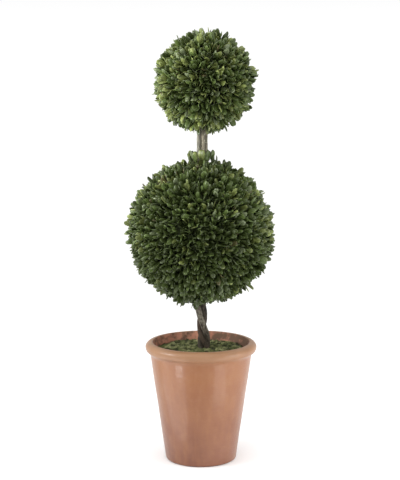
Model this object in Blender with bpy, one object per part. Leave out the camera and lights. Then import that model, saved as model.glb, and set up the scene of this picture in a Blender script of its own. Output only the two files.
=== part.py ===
"""Double ball boxwood topiary standing in a terracotta pot.

Metres, +Z up. The origin is the middle of the pot's flat underside, and the plant is seen from -Y.
Three thin stems twist about each other out of the moss in the pot. They run up through the large
lower ball and end inside the small upper ball. Each ball is a clipped mass: a core that twigs and
leaves stand out of.
"""
import math
import random

import bmesh
import bpy
from mathutils import Matrix, Vector

# Fits between pieces
CLEARANCE = 0.0003
MERGE_DISTANCE = 0.00001
SHARP_ANGLE = math.radians(45)

# Pot: a plain cone with a rolled rim
TURN_STEPS = 40
POT_TOP = 0.2555
POT_FOOT_RADIUS = 0.0763
POT_DRAFT = 0.1432
POT_WALL = 0.009
POT_FLOOR = 0.012
FOOT_ROUND = 0.0035
RIM_BOTTOM = 0.2321
RIM_WIDEST = 0.2450
RIM_RADIUS = 0.1195
RIM_CREST_RADIUS = 0.1058
LIP_ROUND = 0.0030
ROUND_STEPS = 3
RIM_STEPS = 4

# Filling and the moss that covers it, which rises a little towards the trunk
SOIL_LEVEL = 0.2305
MOSS_THICKNESS = 0.0055
MOSS_DOME = 0.0055
MOSS_LUMP = 0.0042
MOSS_LUMP_LEAST = 0.4
MOSS_LUMP_WIDTH = 0.012
MOSS_LUMPS = 60
MOSS_RINGS = 6
MOSS_SEED = 11

# Trunk: three stems of unequal thickness, named by their places between the two balls
STEM_RADII = {"stem_left": 0.0047, "stem_right": 0.0068, "stem_back": 0.0052}
STEM_GAP = 0.0005
STEM_SIDES = 8
STEM_FOOT = SOIL_LEVEL + CLEARANCE
STEM_TIP = 0.822
STEM_TIP_ROUND = 0.006
STEM_TIP_SIZE = 0.45
FLARE = 0.60
FLARE_FALL = 0.016
TAPER = 0.03
LEAN_BASE = 0.0009
LEAN_FOOT = 0.0106
LEAN_FALL = 0.031
LEAN_TOP = 0.0040
LEAN_TOP_POWER = 8
TWIST_START = math.radians(351)
TWIST_RATE = math.radians(3150)
TWIST_FALL = 0.162
RING_TURN = math.radians(16)
RING_STEP = 0.035

# Clipped balls: middle, usual and furthest leaf tips, core, count of twigs, top of the trunk's hole
LOWER_BALL = {
    "name": "lower_ball",
    "centre": Vector((-0.0013, 0.0, 0.4921)),
    "outline": 0.1560,
    "reach": 0.1660,
    "core": 0.1330,
    "twigs": 114,
    "hole_top": 0.6600,
    "seed": 5,
}
UPPER_BALL = {
    "name": "upper_ball",
    "centre": Vector((0.0077, 0.0, 0.8072)),
    "outline": 0.1065,
    "reach": 0.1180,
    "core": 0.0860,
    "twigs": 60,
    "hole_top": STEM_TIP + CLEARANCE,
    "seed": 8,
}
CORE_SUBDIVISIONS = 3
HOLE_SIDES = 16
HOLE_STEP = 0.03

# Twigs and leaves, larger than life so that few of them fill a ball
STEEP = 0.9
TWIG_SINK = 0.010
TWIG_FREE = 0.009
TWIG_RADIUS = 0.0018
TWIG_TIP_RADIUS = 0.0014
TWIG_SIDES = 3
TWIG_TILT = 0.18
LEAF_LENGTH = 0.032
LEAF_WIDTH = 0.022
LEAF_THICKNESS = 0.0022
LEAF_WIDEST = 0.62
LEAF_SINK = 0.0010
LEAF_LEAN = (math.radians(28), math.radians(48))
LEAF_ROLL = math.radians(25)
LEAF_SHORTEST = 0.50
LEAVES_IN_WHORL = 2
TIP_SPREAD = 0.0045
STRAY_EVERY = 9
GOLDEN_ANGLE = math.pi * (3 - math.sqrt(5))

# Finishes: colour as linear red, green and blue, then roughness
TERRACOTTA = ((0.42, 0.22, 0.13), 0.55)
MOSS_GREEN = ((0.085, 0.085, 0.040), 0.95)
SOIL_BROWN = ((0.035, 0.024, 0.016), 0.95)
BARK_GREY = ((0.12, 0.095, 0.070), 0.85)
LEAF_GREEN = ((0.058, 0.082, 0.028), 0.60)


def clear_scene():
    """Remove every object that the new file holds."""
    for thing in list(bpy.data.objects):
        bpy.data.objects.remove(thing, do_unlink=True)


def material(name, colour, roughness):
    """A plain finish with one colour and one roughness."""
    finish = bpy.data.materials.new(name)
    finish.use_nodes = True
    shader = finish.node_tree.nodes["Principled BSDF"]
    shader.inputs["Base Color"].default_value = (*colour, 1.0)
    shader.inputs["Roughness"].default_value = roughness
    shader.inputs["Metallic"].default_value = 0.0
    return finish


def new_object(name, mesh, finish=None):
    """Put a mesh in the scene as an object, with its finish."""
    thing = bpy.data.objects.new(name, mesh)
    bpy.context.scene.collection.objects.link(thing)
    if finish is not None:
        mesh.materials.append(finish)
    return thing


def mesh_from(name, shape):
    """Turn a bmesh into a mesh whose faces all point out."""
    bmesh.ops.recalc_face_normals(shape, faces=shape.faces)
    mesh = bpy.data.meshes.new(name)
    shape.to_mesh(mesh)
    shape.free()
    return mesh


def arc(centre, half_width, half_height, start, end, steps):
    """Points of an elliptical arc between two angles in degrees, both ends included."""
    points = []
    for step in range(steps + 1):
        angle = math.radians(start + (end - start) * step / steps)
        points.append((centre[0] + half_width * math.cos(angle), centre[1] + half_height * math.sin(angle)))
    return points


def turned(name, profile, finish):
    """A solid of revolution about Z from radius and height pairs."""
    shape = bmesh.new()
    verts = [shape.verts.new((radius, 0.0, height)) for radius, height in profile]
    edges = [shape.edges.new(pair) for pair in zip(verts, verts[1:])]
    bmesh.ops.spin(
        shape,
        geom=verts + edges,
        cent=(0, 0, 0),
        axis=(0, 0, 1),
        angle=math.tau,
        steps=TURN_STEPS,
    )
    bmesh.ops.remove_doubles(shape, verts=shape.verts, dist=MERGE_DISTANCE)
    mesh = mesh_from(name, shape)
    mesh.shade_smooth()
    mesh.set_sharp_from_angle(angle=SHARP_ANGLE)
    return new_object(name, mesh, finish)


def body_radius(height):
    """Outside of the pot's cone."""
    return POT_FOOT_RADIUS + POT_DRAFT * height


def inner_radius(height):
    """Inside of the pot's cone."""
    return body_radius(height) - POT_WALL


def build_pot(finish):
    """The pot: inside floor and wall, rolled rim, outside cone, rounded foot and flat underside."""
    lip_height = POT_TOP - LIP_ROUND
    lip_width = RIM_CREST_RADIUS - inner_radius(lip_height)
    neck = body_radius(RIM_BOTTOM)
    foot_radius = body_radius(FOOT_ROUND) - FOOT_ROUND
    above = (RIM_RADIUS - RIM_CREST_RADIUS, POT_TOP - RIM_WIDEST)
    below = (RIM_RADIUS - neck, RIM_WIDEST - RIM_BOTTOM)
    profile = [(0.0, POT_FLOOR), (inner_radius(POT_FLOOR), POT_FLOOR)]
    profile += arc((RIM_CREST_RADIUS, lip_height), lip_width, LIP_ROUND, 180, 90, ROUND_STEPS)
    profile += arc((RIM_CREST_RADIUS, RIM_WIDEST), *above, 90, 0, RIM_STEPS)[1:]
    profile += arc((neck, RIM_WIDEST), *below, 0, -90, RIM_STEPS)[1:]
    profile += arc((foot_radius, FOOT_ROUND), FOOT_ROUND, FOOT_ROUND, 0, -90, ROUND_STEPS)
    profile += [(0.0, 0.0)]
    return turned("pot", profile, finish)


def build_filling(finish):
    """The filling that the trunk stands on, hidden under the moss."""
    low = POT_FLOOR + CLEARANCE
    profile = [
        (0.0, SOIL_LEVEL),
        (inner_radius(SOIL_LEVEL) - CLEARANCE, SOIL_LEVEL),
        (inner_radius(low) - CLEARANCE, low),
        (0.0, low),
    ]
    return turned("filling", profile, finish)


def trunk_swell(height):
    """How much thicker the trunk is than its waist: flared at the foot, tapering upwards."""
    rise = height - STEM_FOOT
    return 1 + FLARE * math.exp(-rise / FLARE_FALL) - TAPER * rise / (STEM_TIP - STEM_FOOT)


def trunk_axis(height):
    """Middle of the trunk, which leans to the right at its foot and again towards its tip."""
    rise = height - STEM_FOOT
    part = rise / (STEM_TIP - STEM_FOOT)
    lean = LEAN_BASE + LEAN_FOOT * math.exp(-rise / LEAN_FALL) + LEAN_TOP * part**LEAN_TOP_POWER
    return Vector((lean, 0.0, height))


def trunk_twist(height):
    """Angle that the stems have turned through, fast at the foot and slow above."""
    rise = height - STEM_FOOT
    return TWIST_START - TWIST_RATE * TWIST_FALL * math.tanh(rise / TWIST_FALL)


def stem_seats():
    """Where each stem lies in the bundle at the waist, with only a narrow gap to both of the others."""
    first, second, third = STEM_RADII.values()
    side_a = first + second + STEM_GAP
    side_b = first + third + STEM_GAP
    side_c = second + third + STEM_GAP
    along = (side_a**2 + side_b**2 - side_c**2) / (2 * side_a)
    seats = [Vector((0, 0)), Vector((side_a, 0)), Vector((along, math.sqrt(side_b**2 - along**2)))]
    middle = sum(seats, Vector((0, 0))) / len(seats)
    turn = math.atan2(middle.y, middle.x) + math.pi
    placed = []
    for seat in seats:
        offset = seat - middle
        offset.rotate(Matrix.Rotation(-turn, 2))
        placed.append(offset)
    return dict(zip(STEM_RADII, placed))


def ring_heights():
    """Heights of the stem's rings, close together where it twists fast."""
    heights = [STEM_FOOT]
    while heights[-1] < STEM_TIP - STEM_TIP_ROUND - RING_STEP:
        rise = heights[-1] - STEM_FOOT
        rate = TWIST_RATE * (1 - math.tanh(rise / TWIST_FALL) ** 2)
        heights.append(heights[-1] + min(RING_STEP, RING_TURN / rate))
    heights.append(STEM_TIP - STEM_TIP_ROUND)
    heights.append(STEM_TIP)
    return heights


def build_stem(name, radius, seat, finish):
    """One stem: level rings stacked along its winding middle, with flat ends."""
    shape = bmesh.new()
    rings = []
    for height in ring_heights():
        offset = seat.copy() * trunk_swell(height)
        offset.rotate(Matrix.Rotation(trunk_twist(height), 2))
        middle = trunk_axis(height) + Vector((offset.x, offset.y, 0))
        size = radius * trunk_swell(height)
        if height == STEM_TIP:
            size *= STEM_TIP_SIZE
        ring = []
        for side in range(STEM_SIDES):
            angle = math.tau * side / STEM_SIDES + trunk_twist(height)
            ring.append(shape.verts.new(middle + size * Vector((math.cos(angle), math.sin(angle), 0))))
        rings.append(ring)
    for low, high in zip(rings, rings[1:]):
        for side in range(STEM_SIDES):
            after = (side + 1) % STEM_SIDES
            shape.faces.new((low[side], low[after], high[after], high[side]))
    shape.faces.new(rings[0])
    shape.faces.new(rings[-1])
    mesh = mesh_from(name, shape)
    mesh.shade_smooth()
    mesh.set_sharp_from_angle(angle=SHARP_ANGLE)
    return new_object(name, mesh, finish)


def trunk_girth(seats):
    """Radius of the round hole that just holds the bundle at its waist."""
    return max(seats[name].length + STEM_RADII[name] for name in STEM_RADII)


def moss_lumps():
    """Middles and heights of the cushions in the moss."""
    chance = random.Random(MOSS_SEED)
    lumps = []
    for _ in range(MOSS_LUMPS):
        radius = inner_radius(SOIL_LEVEL) * math.sqrt(chance.random())
        angle = chance.uniform(0, math.tau)
        height = MOSS_LUMP * chance.uniform(MOSS_LUMP_LEAST, 1.0)
        lumps.append((radius * math.cos(angle), radius * math.sin(angle), height))
    return lumps


def moss_height(x, y, lumps):
    """Top of the moss: a low dome with its tallest cushion at that place."""
    tallest = 0.0
    for lump_x, lump_y, height in lumps:
        away = ((x - lump_x) ** 2 + (y - lump_y) ** 2) / MOSS_LUMP_WIDTH**2
        tallest = max(tallest, height * math.exp(-away))
    dome = MOSS_DOME * (1 - (x**2 + y**2) / inner_radius(SOIL_LEVEL) ** 2)
    return SOIL_LEVEL + MOSS_THICKNESS + dome + tallest


def build_moss(seats, finish):
    """A lumpy mat on the filling, with a hole that the trunk's foot stands in."""
    lumps = moss_lumps()
    low = SOIL_LEVEL + CLEARANCE
    hole = trunk_girth(seats) * trunk_swell(STEM_FOOT) + CLEARANCE
    hole /= math.cos(math.pi / TURN_STEPS)
    hole_middle = trunk_axis(STEM_FOOT)
    shape = bmesh.new()
    top_rings = []
    low_rings = []
    for ring in range(MOSS_RINGS + 1):
        part = ring / MOSS_RINGS
        top_ring = []
        low_ring = []
        for step in range(TURN_STEPS):
            angle = math.tau * step / TURN_STEPS
            way = Vector((math.cos(angle), math.sin(angle), 0))
            inside = Vector((hole_middle.x, hole_middle.y, 0)) + hole * way
            outside = (inner_radius(low) - CLEARANCE) * way
            place = inside.lerp(outside, part)
            height = moss_height(place.x, place.y, lumps)
            top_ring.append(shape.verts.new((place.x, place.y, height)))
            if ring in (0, MOSS_RINGS):
                low_ring.append(shape.verts.new((place.x, place.y, low)))
        top_rings.append(top_ring)
        if low_ring:
            low_rings.append(low_ring)
    loops = [low_rings[0], *top_rings, low_rings[1]]
    for near, far in zip(loops, [*loops[1:], loops[0]]):
        for step in range(TURN_STEPS):
            after = (step + 1) % TURN_STEPS
            shape.faces.new((near[step], near[after], far[after], far[step]))
    mesh = mesh_from("moss", shape)
    mesh.shade_smooth()
    mesh.set_sharp_from_angle(angle=SHARP_ANGLE)
    return new_object("moss", mesh, finish)


def side_ways(along):
    """Two level directions across a given one."""
    helper = Vector((0, 0, 1)) if abs(along.z) < STEEP else Vector((1, 0, 0))
    across = along.cross(helper).normalized()
    return across, along.cross(across).normalized()


def twig_piece(start, end):
    """A three-sided twig that tapers to its end."""
    along = (end - start).normalized()
    across, over = side_ways(along)
    shape = bmesh.new()
    rings = []
    for place, radius in ((start, TWIG_RADIUS), (end, TWIG_TIP_RADIUS)):
        ring = []
        for side in range(TWIG_SIDES):
            angle = math.tau * side / TWIG_SIDES
            sideways = math.cos(angle) * across + math.sin(angle) * over
            ring.append(shape.verts.new(place + radius * sideways))
        rings.append(ring)
    for side in range(TWIG_SIDES):
        after = (side + 1) % TWIG_SIDES
        shape.faces.new((rings[0][side], rings[0][after], rings[1][after], rings[1][side]))
    shape.faces.new(rings[0])
    shape.faces.new(rings[1])
    return mesh_from("twig", shape)


def leaf_piece(root, along, across, length):
    """A leaf of eight faces: root, tip, two edges, and a raised middle on each side."""
    over = along.cross(across).normalized()
    size = length / LEAF_LENGTH
    edge = root + along * length * LEAF_WIDEST
    half = across * LEAF_WIDTH * size / 2
    rise = over * LEAF_THICKNESS / 2
    shape = bmesh.new()
    base = shape.verts.new(root)
    tip = shape.verts.new(root + along * length)
    belt = [shape.verts.new(place) for place in (edge + half, edge + rise, edge - half, edge - rise)]
    for side in range(len(belt)):
        after = (side + 1) % len(belt)
        shape.faces.new((base, belt[side], belt[after]))
        shape.faces.new((tip, belt[after], belt[side]))
    return mesh_from("leaf", shape)


def clipped_length(root, along, centre, limit):
    """Length at which a leaf from a root reaches the clipped ball's surface."""
    offset = root - centre
    slope = offset.dot(along)
    return -slope + math.sqrt(slope**2 - offset.length_squared + limit**2)


def clear_of_trunk(place, room):
    """Whether a place is further from the trunk's middle than the room asked for."""
    if place.z > STEM_TIP + room:
        return True
    middle = trunk_axis(min(place.z, STEM_TIP))
    return (Vector((place.x, place.y)) - middle.xy).length > room


def grow_twig(ball, number, chance, room):
    """Twig and leaf meshes of one twig: an opposite pair at its foot and one leaf at its end."""
    centre = ball["centre"]
    height = 1 - (2 * number + 1) / ball["twigs"]
    level = math.sqrt(1 - height**2)
    turn = number * GOLDEN_ANGLE
    outward = Vector((level * math.cos(turn), level * math.sin(turn), height))
    tilt = Vector([chance.uniform(-TWIG_TILT, TWIG_TILT) for _ in range(3)])
    along = (outward + tilt).normalized()
    foot = centre + outward * ball["core"]
    start = foot - along * TWIG_SINK
    end = foot + along * TWIG_FREE
    if not (clear_of_trunk(start, room) and clear_of_trunk(end, room)):
        return []
    pieces = [twig_piece(start, end)]
    across, over = side_ways(along)
    spin = chance.uniform(0, math.tau)
    shoots = []
    for leaf in range(LEAVES_IN_WHORL):
        angle = spin + math.tau * leaf / LEAVES_IN_WHORL
        sideways = math.cos(angle) * across + math.sin(angle) * over
        lean = chance.uniform(*LEAF_LEAN)
        way = math.cos(lean) * along + math.sin(lean) * sideways
        shoots.append((foot, way, chance.gauss(0, TIP_SPREAD)))
    stray = ball["reach"] - ball["outline"]
    end_spread = stray if number % STRAY_EVERY == 0 else chance.gauss(0, TIP_SPREAD)
    shoots.append((end, along, end_spread))
    for seat, way, spread in shoots:
        root = seat - way * LEAF_SINK
        limit = min(ball["reach"], ball["outline"] + spread)
        length = min(LEAF_LENGTH, clipped_length(root, way, centre, limit))
        roll = chance.uniform(-LEAF_ROLL, LEAF_ROLL)
        flat = Matrix.Rotation(roll, 3, way) @ (math.cos(spin) * over - math.sin(spin) * across)
        if length < LEAF_LENGTH * LEAF_SHORTEST:
            continue
        if clear_of_trunk(root + way * length, room) and clear_of_trunk(root, room):
            pieces.append(leaf_piece(root, way, flat, length))
    return pieces


def trunk_hole(ball, girth):
    """Cutter that follows the trunk from under the ball to the top of its hole."""
    low = ball["centre"].z - ball["reach"]
    count = math.ceil((ball["hole_top"] - low) / HOLE_STEP)
    shape = bmesh.new()
    rings = []
    for step in range(count + 1):
        middle = trunk_axis(low + (ball["hole_top"] - low) * step / count)
        ring = []
        for side in range(HOLE_SIDES):
            angle = math.tau * side / HOLE_SIDES
            ring.append(shape.verts.new(middle + girth * Vector((math.cos(angle), math.sin(angle), 0))))
        rings.append(ring)
    for near, far in zip(rings, rings[1:]):
        for side in range(HOLE_SIDES):
            after = (side + 1) % HOLE_SIDES
            shape.faces.new((near[side], near[after], far[after], far[side]))
    shape.faces.new(rings[0])
    shape.faces.new(rings[-1])
    cutter = new_object("trunk_hole", mesh_from("trunk_hole", shape))
    cutter.hide_render = True
    cutter.display_type = "WIRE"
    return cutter


def apply_boolean(thing, operation, **operand):
    """Apply one Boolean to an object's mesh and leave no modifier on it."""
    cut = thing.modifiers.new(operation.lower(), "BOOLEAN")
    cut.operation = operation
    for setting, value in operand.items():
        setattr(cut, setting, value)
    state = bpy.context.evaluated_depsgraph_get()
    shaped = bpy.data.meshes.new_from_object(thing.evaluated_get(state))
    thing.modifiers.clear()
    thing.data = shaped


def keep_largest(mesh):
    """Keep the largest joined body of a mesh, which fills sealed hollows and drops loose scraps."""
    shape = bmesh.new()
    shape.from_mesh(mesh)
    waiting = set(shape.faces)
    bodies = []
    while waiting:
        reached = [waiting.pop()]
        body = []
        while reached:
            face = reached.pop()
            body.append(face)
            for edge in face.edges:
                for other in edge.link_faces:
                    if other in waiting:
                        waiting.remove(other)
                        reached.append(other)
        bodies.append(body)
    bodies.sort(key=len)
    spare = [face for body in bodies[:-1] for face in body]
    bmesh.ops.delete(shape, geom=spare, context="FACES")
    shape.to_mesh(mesh)
    shape.free()


def build_ball(ball, girth, finish):
    """One clipped mass: a core cut clear of the trunk, with its twigs and leaves fused on."""
    name = ball["name"]
    core_shape = bmesh.new()
    bmesh.ops.create_icosphere(core_shape, subdivisions=CORE_SUBDIVISIONS, radius=ball["core"])
    bmesh.ops.translate(core_shape, verts=core_shape.verts, vec=ball["centre"])
    mass = new_object(name, mesh_from(name, core_shape))
    hole_radius = (girth + CLEARANCE) / math.cos(math.pi / HOLE_SIDES)
    cutter = trunk_hole(ball, hole_radius)
    apply_boolean(mass, "DIFFERENCE", object=cutter)
    bpy.data.objects.remove(cutter, do_unlink=True)
    growth = bpy.data.collections.new(f"{name}_growth")
    bpy.context.scene.collection.children.link(growth)
    chance = random.Random(ball["seed"])
    room = hole_radius + LEAF_WIDTH / 2
    for number in range(ball["twigs"]):
        for mesh in grow_twig(ball, number, chance, room):
            growth.objects.link(bpy.data.objects.new(mesh.name, mesh))
    apply_boolean(mass, "UNION", operand_type="COLLECTION", collection=growth)
    for piece in list(growth.objects):
        bpy.data.objects.remove(piece, do_unlink=True)
    bpy.data.collections.remove(growth)
    keep_largest(mass.data)
    mass.data.materials.clear()
    mass.data.materials.append(finish)
    return mass


def main():
    """Build the pot, its filling and moss, the three stems and the two balls."""
    clear_scene()
    terracotta = material("terracotta", *TERRACOTTA)
    soil = material("soil", *SOIL_BROWN)
    moss = material("moss", *MOSS_GREEN)
    bark = material("bark", *BARK_GREY)
    leaves = material("leaves", *LEAF_GREEN)
    seats = stem_seats()
    girth = trunk_girth(seats)
    build_pot(terracotta)
    build_filling(soil)
    build_moss(seats, moss)
    for name, radius in STEM_RADII.items():
        build_stem(name, radius, seats[name], bark)
    for ball in (LOWER_BALL, UPPER_BALL):
        build_ball(ball, girth, leaves)


main()
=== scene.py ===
import math
import random

import bpy
import numpy as np
from mathutils import Matrix, Vector, noise


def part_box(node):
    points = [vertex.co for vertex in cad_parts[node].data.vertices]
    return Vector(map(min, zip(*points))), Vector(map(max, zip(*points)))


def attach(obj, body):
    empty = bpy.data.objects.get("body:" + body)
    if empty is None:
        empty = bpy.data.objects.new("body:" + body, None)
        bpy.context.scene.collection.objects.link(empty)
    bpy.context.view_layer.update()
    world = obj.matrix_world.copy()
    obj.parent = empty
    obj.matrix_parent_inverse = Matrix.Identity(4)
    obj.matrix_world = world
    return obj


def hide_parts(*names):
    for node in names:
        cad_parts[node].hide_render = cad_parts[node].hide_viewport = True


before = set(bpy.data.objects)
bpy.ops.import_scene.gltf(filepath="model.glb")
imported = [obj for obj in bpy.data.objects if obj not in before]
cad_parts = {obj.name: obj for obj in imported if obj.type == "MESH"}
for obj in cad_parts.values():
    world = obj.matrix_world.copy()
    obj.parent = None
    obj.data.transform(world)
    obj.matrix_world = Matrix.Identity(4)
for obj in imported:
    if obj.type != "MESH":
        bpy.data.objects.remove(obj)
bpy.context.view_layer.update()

# Photograph's height and focal length in pixels, then its camera: the sensor in millimetres, the place
# in metres and how far it looks down in degrees
FRAME_HEIGHT = 480
FOCAL_PIXELS = 1070
SENSOR = 36.0
CAMERA_PLACE = (-0.0021, -2.2596, 0.7600)
CAMERA_DOWN = 7.195

# Studio: pale floor, dim surroundings that are white at the horizon and overhead, and soft lamps, the
# left one with a grid that narrows its light
FLOOR_SIZE = 30.0
FLOOR_DROP = 0.0005
FLOOR_COLOUR = (0.96, 0.96, 0.96)
ROOM_LIGHT = 0.30
HORIZON_LIGHT = 0.80
HORIZON_POWER = 20
TOP_LIGHT = 1.54
SOFTBOXES = {
    "left_box": {
        "place": (-0.95, -0.30, 0.85),
        "aim": (0.0, 0.0, 0.95),
        "size": (0.6, 0.6),
        "power": 8.2,
        "spread": math.radians(120),
    },
    "right_box": {
        "place": (0.85, -0.35, 0.32),
        "aim": (0.0, 0.0, 0.40),
        "size": (0.5, 0.5),
        "power": 4.1,
    },
    "overhead": {
        "place": (0.0, -0.10, 1.55),
        "aim": (0.0, 0.0, 0.80),
        "size": (0.8, 0.8),
        "power": 4.6,
    },
    "front_box": {
        "place": (0.0, -1.60, 1.60),
        "aim": (0.0, 0.0, 0.75),
        "size": (0.8, 0.8),
        "power": 1.5,
    },
}

# Cards that lie on the floor beside the pot and are seen only in gloss, for the shine of its wax
SHINE_CARDS = {
    "low_left": {
        "place": (-0.338, -0.112, 0.01),
        "aim": (-0.286, -0.027, 1.0),
        "size": (0.45, 0.49),
        "power": 1.10,
    },
    "glint": {
        "place": (-0.350, -0.317, 0.012),
        "aim": (-0.285, -0.241, 1.0),
        "size": (0.14, 0.035),
        "power": 0.17,
    },
    "low_right": {
        "place": (0.289, -0.317, 0.01),
        "aim": (0.235, -0.233, 1.0),
        "size": (0.20, 0.24),
        "power": 0.35,
    },
}

# Fit between pieces, how near two places count as one, and the sharpest turn that is shaded smooth
CLEARANCE = 0.0003
NEAR = 0.00001
SMOOTH_TURN = math.radians(60)

# Pot, as wide and high as its solid
POT_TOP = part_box("pot")[1].z
POT_SIDES = 160
POT_FOOT_RADIUS = 0.0763
POT_DRAFT = 0.1432
POT_WALL = 0.009
POT_FLOOR = 0.012
FOOT_ROUND = 0.0035
RIM_BOTTOM = 0.2321
RIM_WIDEST = 0.2450
RIM_RADIUS = 0.1195
RIM_CREST_RADIUS = 0.1058
LIP_ROUND = 0.0030
NECK_ROUND = 0.0075
NECK_ANGLE = 42
ROUND_STEPS = 6
RIM_STEPS = 12
BODY_STEPS = 80
UNDERSIDE_STEPS = 6
HAND_WOBBLE = 0.0005
HAND_WOBBLE_WIDTH = 0.070
THROWING_RING = 0.00004
THROWING_PITCH = 0.0110
THROWING_SWAY = 2
POT_SMOOTH_TURN = math.radians(50)
WAX_WEIGHT = 0.38
WAX_ROUGHNESS = 0.13

# Moss in the pot: the solid's mat and dome, with finer tufts
SOIL_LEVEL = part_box("filling")[1].z
MOSS_THICKNESS = 0.0055
MOSS_DOME = 0.0055
MOSS_LUMP = 0.0042
MOSS_LUMP_LEAST = 0.4
MOSS_LUMP_WIDTH = 0.012
MOSS_LUMPS = 60
MOSS_SEED = 11
MOSS_SIDES = 144
MOSS_RINGS = 40
MOSS_UNDERSIDE_RINGS = 2
MOSS_RELIEF = 0.0016
MOSS_GRAIN = 0.006
MOSS_SINK = 0.0016
TUFT_COUNT = 330
TUFT_RADIUS = (0.0030, 0.0058)
TUFT_RISE = 0.0022
TUFT_SWAY = 0.05
TUFT_SPRIGS = 11
SPRIG_SIZE = (0.0024, 0.0048)
SPRIG_SPLAY = 0.45
SPRIG_SUNK = 0.4
SPRIG_BLADES = 7
SPRIG_BLADE_RADIUS = 0.16
SPRIG_BLADE_SHAPE = (1.4, 0.6, 1.0)
SPRIG_TILT = (0.25, 0.16)
SPRIG_TONES = {
    "moss_dark": {"dark": (0.044, 0.051, 0.020), "light": (0.121, 0.134, 0.053), "share": 0.26},
    "moss_green": {"dark": (0.125, 0.147, 0.050), "light": (0.303, 0.337, 0.127), "share": 0.42},
    "moss_pale": {"dark": (0.289, 0.303, 0.127), "light": (0.567, 0.572, 0.275), "share": 0.32},
}

# Trunk: the middles and sizes of its three stems
STEM_RADII = {"stem_left": 0.0047, "stem_right": 0.0068, "stem_back": 0.0052}
STEM_GAP = 0.0005
STEM_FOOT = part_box("stem_left")[0].z
STEM_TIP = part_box("stem_left")[1].z
STEM_TIP_ROUND = 0.006
STEM_TIP_SIZE = 0.45
STEM_SIDES = 20
STEM_RING_STEP = 0.0042
FLARE = 0.60
FLARE_FALL = 0.016
TAPER = 0.03
LEAN_BASE = 0.0009
LEAN_FOOT = 0.0106
LEAN_FALL = 0.031
LEAN_TOP = 0.0040
LEAN_TOP_POWER = 8
TWIST_START = math.radians(351)
TWIST_RATE = math.radians(3150)
TWIST_FALL = 0.162
BARK_RIDGE = 0.00060
BARK_RIDGE_WIDTH = 0.0024
BARK_RIDGE_LENGTH = 0.022
BARK_KNOB = 0.00045
BARK_KNOB_WIDTH = 0.009
BARK_SHIFT = Vector((3.1, 1.7, 0.9))

# Layered noise of the moss and the bark: how fast its layers weaken, how much finer each is than the
# last, and how many there are
MOSS_NOISE = (0.7, 2.0, 3)
BARK_NOISE = (0.8, 2.0, 3)

# Bark tones below and above the lower ball. Lichen grows where the noise is above the stem's value
BARKS = {
    "stem_left": {
        "name": "bark_pale",
        "low": (0.101, 0.066, 0.047),
        "high": (0.300, 0.287, 0.225),
        "lichen": 0.62,
    },
    "stem_right": {
        "name": "bark_brown",
        "low": (0.140, 0.115, 0.088),
        "high": (0.218, 0.193, 0.138),
        "lichen": 0.52,
    },
    "stem_back": {
        "name": "bark_grey",
        "low": (0.073, 0.059, 0.046),
        "high": (0.200, 0.185, 0.145),
        "lichen": 0.60,
    },
}

# Clipped balls, grown by the rule of their solids and carried finer. The usual tips stand near the
# outline, the furthest stop at the reach, and tones are dealt as painted light and shade: each ball is
# made paler or deeper as a whole, and paler tones are likelier on the side painted as lit
LOWER_BALL = {
    "name": "lower_ball",
    "centre": Vector((-0.0013, 0.0, 0.4921)),
    "outline": 0.1582,
    "reach": 0.1660,
    "core": 0.1330,
    "twigs": 1150,
    "hole_top": 0.6600,
    "seed": 5,
    "painted_lightness": -0.62,
    "painted_light_side": Vector((0.15, 0.78, 0.80)),
}
UPPER_BALL = {
    "name": "upper_ball",
    "centre": Vector((0.0077, 0.0, 0.8072)),
    "outline": 0.1100,
    "reach": 0.1180,
    "core": 0.0860,
    "twigs": 560,
    "hole_top": STEM_TIP + CLEARANCE,
    "seed": 8,
    "painted_lightness": 0.50,
    "painted_light_side": Vector((-0.25, 0.50, 0.10)),
}
CORE_INSET = 0.0085
CORE_SUBDIVISIONS = 5
CORE_RELIEF = 0.0030
CORE_GRAIN = 0.012
HOLE_SIDES = 32
HOLE_STEP = 0.03
GOLDEN_ANGLE = math.pi * (3 - math.sqrt(5))
STEEP = 0.9
TWIG_SINK = 0.016
TWIG_TILT = 0.20
TWIG_RADIUS = 0.0008
TWIG_SIDES = 5
TWIG_WAIST = (0.6, 0.8)
TWIG_TIP_SIZE = 0.45
TWIG_RISE = 0.0042
LEAF_LENGTH = 0.0255
LEAF_LENGTH_SPREAD = 0.18
LEAF_WIDTH = 0.0110
LEAF_WIDTH_RANGE = (0.82, 1.14)
LEAF_SINK = 0.0004
LEAF_SHORTEST = 0.55
LEAF_WIDEST = 0.70
LEAF_ROLL = math.radians(40)
WHORLS = (
    {"depth": 0.0350, "leaves": 1, "lean": (math.radians(28), math.radians(55))},
    {"depth": 0.0320, "leaves": 2, "lean": (math.radians(14), math.radians(38))},
    {"depth": 0.0300, "leaves": 2, "lean": (math.radians(2), math.radians(22))},
)
STRAY_EVERY = 60
STRAY_PART = 0.6
TRUNK_ROOM = 0.0008

# Collar: the leaves of the lower ball that stand up against the trunk, dealt pale tones as painted
# light
COLLAR_HEIGHT = 0.6400
COLLAR_HEIGHT_SPREAD = 0.0035
COLLAR_LEAVES = 26
COLLAR_ROOM = (0.0005, 0.0080)
COLLAR_LEAN = (math.radians(2), math.radians(24))
COLLAR_PAINTED_LIGHT_SIDE = Vector((0.0, 0.0, 3.0))

# Leaf shapes: rows along the blade with the width at each, and how far it is folded and curled
LEAF_ROWS = (0.0, 0.17, 0.40, 0.66, 0.88, 1.0)
LEAF_OUTLINE = (0.10, 0.56, 0.90, 1.0, 0.80, 0.34)
LEAF_BLADE = 0.022
LEAF_SHAPES = {
    "leaf_flat": {"fold": 0.22, "curl": 0.08},
    "leaf_cupped": {"fold": 0.50, "curl": 0.28},
    "leaf_curled": {"fold": 0.36, "curl": -0.34},
}

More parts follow.
